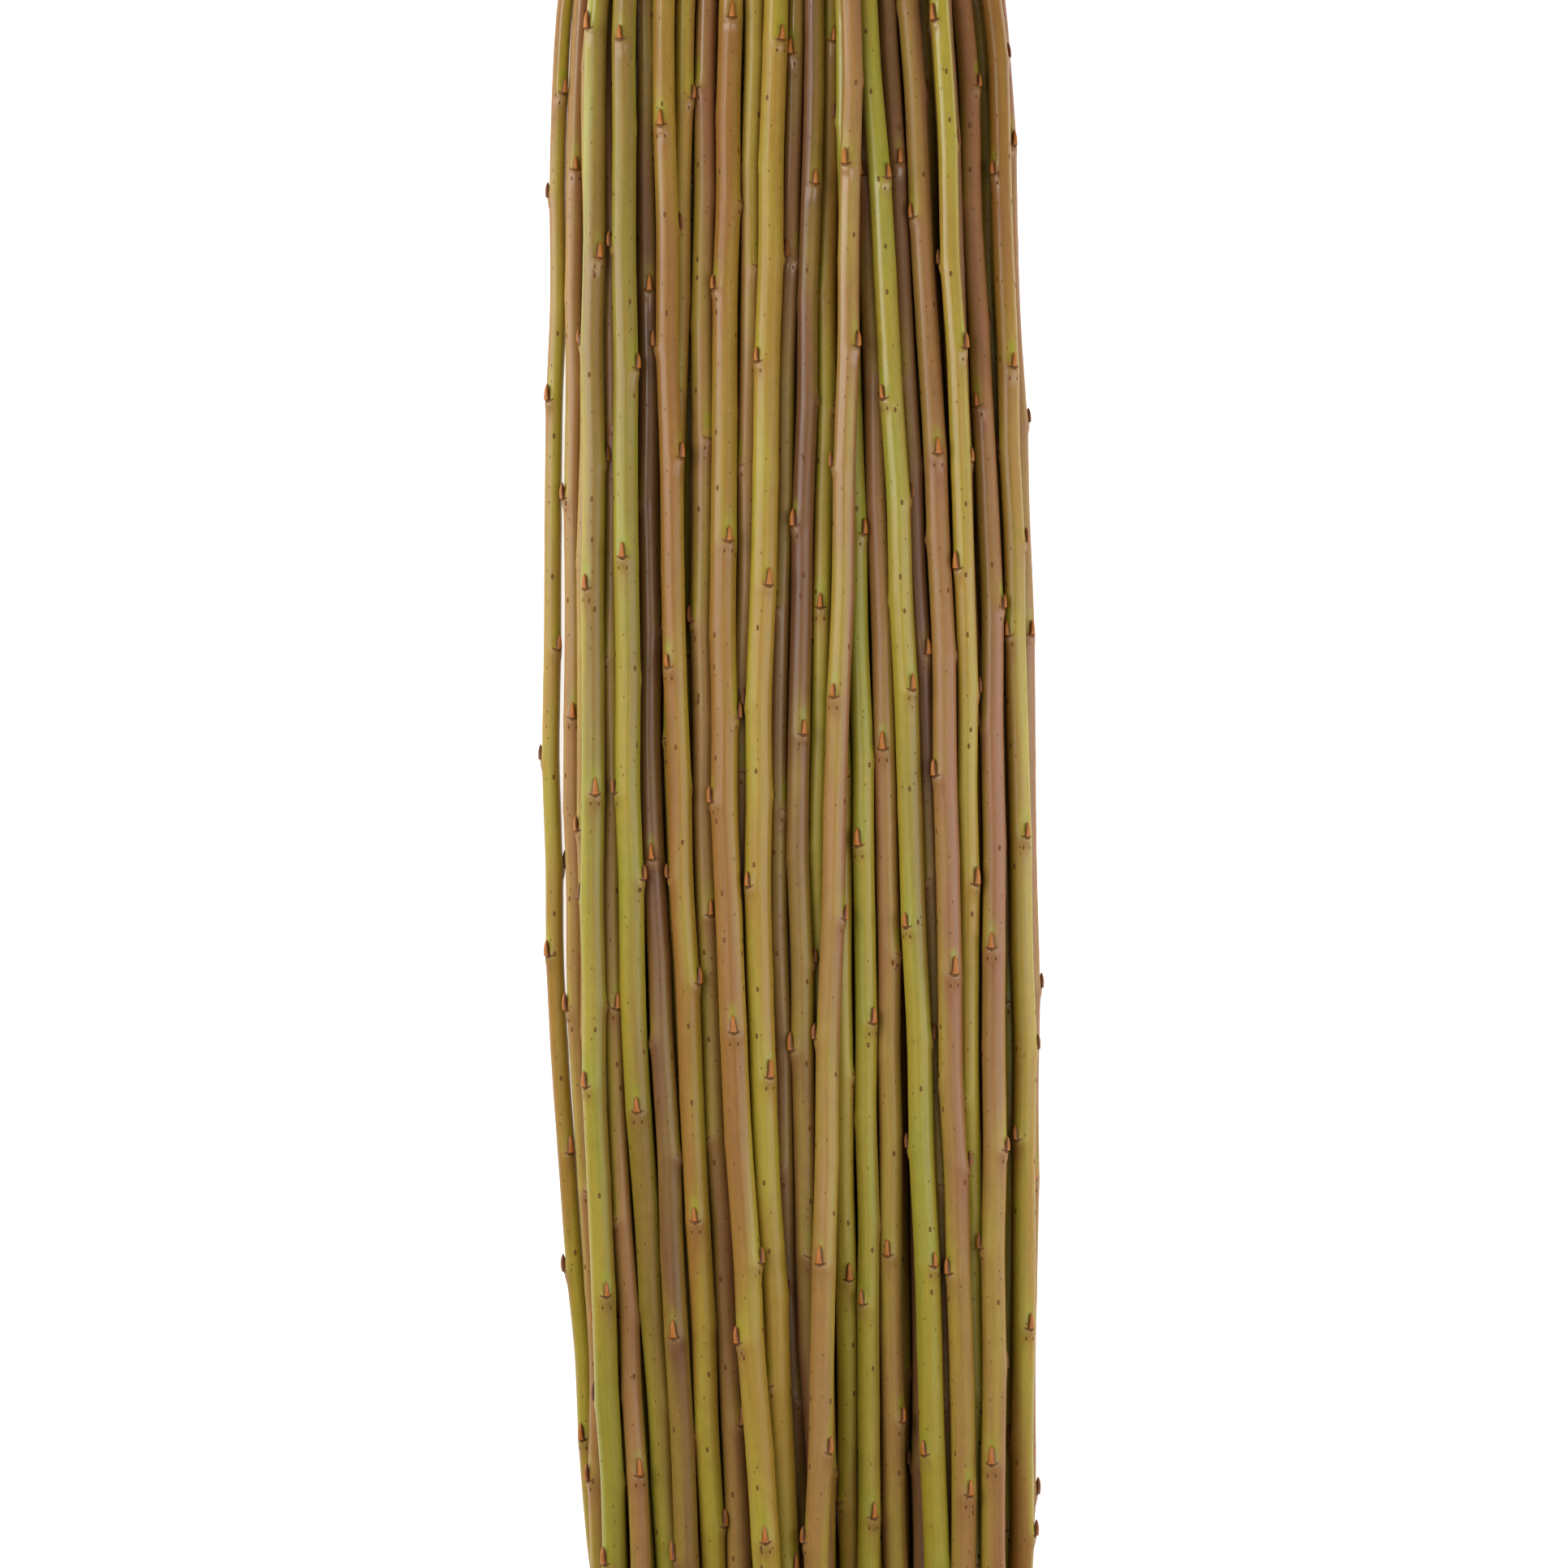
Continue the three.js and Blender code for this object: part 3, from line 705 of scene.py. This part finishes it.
def wood_finish():
    """A fresh cut: cream wood round a brown pith, with a green line just inside the bark."""
    finish = Finish("cut_wood")
    heart = finish.attribute("heart")
    grain = finish.noise(finish.attribute("place", "Vector"), (1600, 1600, 1600), 4.0)
    ground = finish.mix(grain.clear(0.3, 0.75), colour(196, 176, 128), colour(166, 140, 92))
    ground = finish.mix(1 - heart.clear(0.14, 0.24), ground, colour(104, 72, 40))
    ground = finish.mix(heart.clear(0.84, 0.93), ground, colour(112, 118, 44))
    normal = finish.bump(grain, 0.1 * MM)
    return finish.wear(Base_Color=ground, Roughness=0.6 + grain * 0.2, Normal=normal)


bark_finishes = {slot: bark(slot, tints) for slot, tints in BARKS.items()}
bud_scale, leaf_scar, cut_wood = bud_finish(), scar_finish(), wood_finish()
slot_of = {part["node"]: part["material_slot"] for part in frame["record"]["subparts"]}

for rod in rods:
    skin = Skin()
    add_rod(skin, rod)
    tiles = len(rod.bud_y) + 1
    for number, (y, angle) in enumerate(zip(rod.bud_y, rod.bud_angle)):
        size = rod.random.uniform(*BUD_VARIES) * np.interp(y, [rod.butt, rod.tip], BUD_SIZE_AT_ENDS)
        if off_table(rod, y, angle):
            add_scar(skin, rod, y, angle, number, tiles)
            if room_for_bud(rod, y, angle):
                add_bud(skin, rod, y, angle, size, number, tiles)
    add_tip_bud(skin, rod, tiles - 1, tiles)
    slot = slot_of[rod.name]
    piece = skin.object(rod.name + "_grown", [bark_finishes[slot], bud_scale, leaf_scar, cut_wood])
    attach(piece, "root")
    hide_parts(rod.name)


# ---- Twine ties ------------------------------------------------------------------------------
# Natural jute twine, three strands twisted together. It is wound four times round the stems near
# each end, pulled tight and tied on top, and its two ends are cut short.

TWINE_RADIUS = 1.15 * MM
TURNS = 4
TWINE_SIDES = 12
TWIST = 7.5 * MM
TWINE_STEP = 1.1 * MM
STRAND_DEPTH = 0.2
ASKEW = np.array([0.13, 0.91, 0.37])
LOOP_GAP = 0.15 * MM
WOUND_BAND = (10, 0, 0.8)
KNOT_BAND = (1, 0.8, 0.88)
KNOT_LOOP = 1.9 * MM
KNOT_LIFT = 1.6 * TWINE_RADIUS
KNOT_TWINE = 0.95 * TWINE_RADIUS


def twine_finish():
    """Jute: straw brown fibres that run along the strands, with painted shade darkening the hollows
    between strands.
    """
    finish = Finish("twine", Sheen_Weight=0.3, Sheen_Roughness=0.5)
    place = finish.attribute("place", "Vector")
    fibres = finish.noise(place, (1800, 1800, 1800), 4.0, 0.6)
    patches = finish.noise(place, (160, 160, 160), 2.0)
    lobe = finish.attribute("lobe")
    ground = finish.mix(patches.clear(0.35, 0.7), colour(196, 164, 116), colour(166, 130, 84))
    ground = finish.mix(fibres.clear(0.45, 0.75) * 0.5, ground, colour(120, 90, 56))
    # Painted shade: darker brown in the hollows between the strands' crests.
    ground = finish.mix((1 - lobe) * 0.6, ground, colour(86, 62, 38))
    normal = finish.bump(fibres, 0.25 * MM)
    return finish.wear(Base_Color=ground, Roughness=0.85 + fibres * 0.1, Normal=normal)


twine = twine_finish()


def resample(path, step):
    """The same path with its points an even step apart."""
    far = np.concatenate([[0], np.cumsum(np.linalg.norm(np.diff(path, axis=0), axis=1))])
    even = np.linspace(0, far[-1], max(2, int(far[-1] / step)))
    return np.stack([np.interp(even, far, path[:, axis]) for axis in range(3)], axis=1)


def add_strand(skin, path, radius, band):
    """A twisted three-strand cord along a path. Round the cord its radius rises and falls as a
    cosine with three crests, by STRAND_DEPTH of itself, and the crests turn once in every TWIST of
    its length. band is its count of strips on the map for baking, and where they start and end."""
    path = resample(path, TWINE_STEP)
    ahead = np.gradient(path, axis=0)
    ahead /= np.linalg.norm(ahead, axis=1, keepdims=True)
    side = np.cross(ahead, ASKEW)
    side /= np.linalg.norm(side, axis=1, keepdims=True)
    up = np.cross(side, ahead)
    far = TWINE_STEP * np.arange(len(path))
    phi = np.linspace(0, 2 * np.pi, TWINE_SIDES, endpoint=False)
    lobe = (1 + np.cos(3 * (phi[None, :] - 2 * np.pi * far[:, None] / TWIST))) / 2
    reach = (radius * (1 - STRAND_DEPTH + STRAND_DEPTH * lobe))[..., None]
    outward = np.cos(phi)[:, None] * side[:, None] + np.sin(phi)[:, None] * up[:, None]
    rings = path[:, None] + reach * outward
    strips, low, high = band
    count = len(path)

    def bake(row, column):
        strip = np.floor(row.min(axis=1) * strips / (count + 2))[:, None]
        u = 0.004 + 0.98 * (row * strips / (count + 2 + strips) - strip * count / (count + strips))
        v = strip + STRIP_MARGIN + (1 - 2 * STRIP_MARGIN) * column / TWINE_SIDES
        return np.clip(u, 0, 1), low + (high - low) * v / strips

    # lobe also feeds the twine finish's painted shade in the hollows between strands.
    skin.add(
        rings, path[[0, -1]], lambda row: np.zeros(len(row)),
        lambda row, column: (column * MM, row * TWINE_STEP), bake, place=rings, lobe=lobe)


def taut_loop(y, stand_off):
    """The tight loop round all the rods at y, each place of it stood off the rod that reaches
    furthest in that direction."""
    there = np.array([y])
    held = [rod for rod in rods if rod.butt < y < rod.tip]
    discs = np.array([[*rod.middle(there)[0][[0, 2]], rod.radius(there)[0]] for rod in held])
    phi = np.linspace(0, 2 * np.pi, 720, endpoint=False)
    facing = np.stack([np.cos(phi), np.sin(phi)], axis=1)
    touched = discs[(discs[:, :2] @ facing.T + discs[:, 2:]).argmax(axis=0)]
    loop = touched[:, :2] + (touched[:, 2:] + stand_off) * facing
    return np.roll(loop, -loop[:, 1].argmax(), axis=0)


def tie(node, y):
    """An even coil round the rods, a knot on top and two cut ends. The knot is a trefoil:
    sines and cosines of one turn and of two across, and a sine of three turns for its height.
    Each end is a parabola sideways, with half a sine of rise on its way down."""
    loop = taut_loop(y, TWINE_RADIUS + LOOP_GAP)
    wound = np.tile(loop, (TURNS, 1))
    turn = np.linspace(-0.5, 0.5, len(wound)) * (TURNS - 1) * 2 * TWINE_RADIUS
    skin = Skin()
    coil = np.stack([wound[:, 0], y + turn, wound[:, 1]], axis=1)
    add_strand(skin, coil, TWINE_RADIUS, WOUND_BAND)
    knot_at = np.array([loop[0, 0], y, loop[0, 1] + KNOT_LIFT])
    t = np.linspace(0, 2 * np.pi, 90)
    trefoil = [np.sin(t) + 2 * np.sin(2 * t), np.cos(t) - 2 * np.cos(2 * t), -0.62 * np.sin(3 * t)]
    add_strand(skin, knot_at + KNOT_LOOP * np.stack(trefoil, axis=1), KNOT_TWINE, KNOT_BAND)
    s = np.linspace(0, 1, 24)
    for side in (-1, 1):
        tail = [side * (3 * s + 4 * s**2), side * 19 * s, 1.5 - 1.8 * s + 1.2 * np.sin(np.pi * s)]
        tail_band = (1, 0.94 + 0.03 * side, 0.96 + 0.03 * side)
        add_strand(skin, knot_at + MM * np.stack(tail, axis=1), TWINE_RADIUS, tail_band)
    piece = skin.object(node + "_twine", [twine])
    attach(piece, "root")
    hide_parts(node)


tie("butt_tie", butt_tie_y)
tie("tip_tie", tip_tie_y)


# ---- Table and light -------------------------------------------------------------------------
# A plain white table that glows a little as painted light, lighting the bunch a little from below,
# except right under the bunch.
# Two long lamps stand low on either side of the bunch and a smaller one a little higher on its
# left, nearer the tips, and daylight fills from all round.

FLOOR_HALF = 40.0
UNLIT_HALF_WIDTH = (49 * MM, 52 * MM)
UNLIT_HALF_LENGTH = (210 * MM, 220 * MM)
TABLE_WHITE = (0.85, 0.85, 0.845, 1)
UNLIT, LIT = (0.02, 0.02, 0.02, 1), (1, 1, 1, 1)
GLOW = 0.75
DAYLIGHT = 0.12

floor_corners = FLOOR_HALF * np.array([[-1, -1, 0], [1, -1, 0], [1, 1, 0], [-1, 1, 0]])
floor_mesh = bpy.data.meshes.new("table")
floor_mesh.from_pydata(floor_corners.tolist(), [], [(0, 1, 2, 3)])
table = bpy.data.objects.new("table", floor_mesh)
bpy.context.scene.collection.objects.link(table)
# The table's emission is painted light: it glows though it is no lamp.
table_finish = Finish("table_white", Roughness=0.8, Base_Color=TABLE_WHITE, Emission_Strength=GLOW)
spot = table_finish.node("ShaderNodeTexCoord", {}, {}, "Object")
across = abs(table_finish.part(spot, "X"))
along = abs(table_finish.part(spot, "Y") - widest_y)
clear_of_bunch = across.clear(*UNLIT_HALF_WIDTH).either(along.clear(*UNLIT_HALF_LENGTH))
table_finish.wear(Emission_Color=table_finish.mix(clear_of_bunch, UNLIT, LIT))
floor_mesh.materials.append(table_finish.material)


def lamp(name, place, target, size, power):
    """A long lamp at a place, turned to face its target."""
    data = bpy.data.lights.new(name, "AREA")
    data.shape = "RECTANGLE"
    data.size, data.size_y = size
    data.energy = power
    made = bpy.data.objects.new(name, data)
    made.location = place
    facing = Vector(target) - Vector(place)
    made.rotation_euler = facing.to_track_quat("-Z", "Y").to_euler()
    bpy.context.scene.collection.objects.link(made)


look_at = (0, widest_y, 0)
towards_tips = (0, widest_y + 0.12, 0)
lamp("left_lamp", (-0.56, widest_y + 0.15, 0.32), look_at, size=(0.16, 1.5), power=6.8)
lamp("right_lamp", (0.56, widest_y, 0.32), look_at, size=(0.2, 1.6), power=6.5)
lamp("tip_lamp", (-0.42, widest_y + 0.34, 0.42), towards_tips, size=(0.06, 0.4), power=1)

world = bpy.data.worlds.new("daylight")
world.use_nodes = True
background = world.node_tree.nodes["Background"]
background.inputs["Color"].default_value = (1, 1, 1, 1)
background.inputs["Strength"].default_value = DAYLIGHT
bpy.context.scene.world = world
bpy.context.scene.view_settings.view_transform = "Standard"
